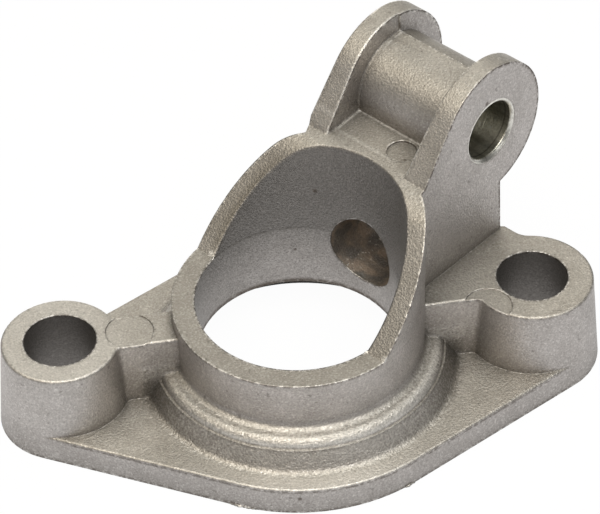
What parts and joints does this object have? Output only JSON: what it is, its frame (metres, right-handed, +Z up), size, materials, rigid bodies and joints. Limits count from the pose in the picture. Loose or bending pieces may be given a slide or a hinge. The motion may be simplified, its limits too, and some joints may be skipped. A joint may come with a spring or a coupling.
{
  "type": "lever bracket",
  "caption": "Cast bracket: a rhomboid bolt flange with a round collar and bore, and a forked arm with a cross bore for a lever's pivot pin.",
  "frame": {"origin": "centre of the main bore on the underside plane of the flange", "axes": "+Z up along the main bore, away from the mounting surface; +X along the line of the two bolt holes, towards the boss beside the arm; the arm points 37.5 degrees from +X towards +Y"},
  "size_m": [0.0766, 0.0527, 0.0386],
  "materials": {
    "cast_body": "as-cast, shot-blasted, satin grey"
  },
  "bodies": {
    "root": {"lever_bracket": "cast_body"}
  },
  "joints": []
}
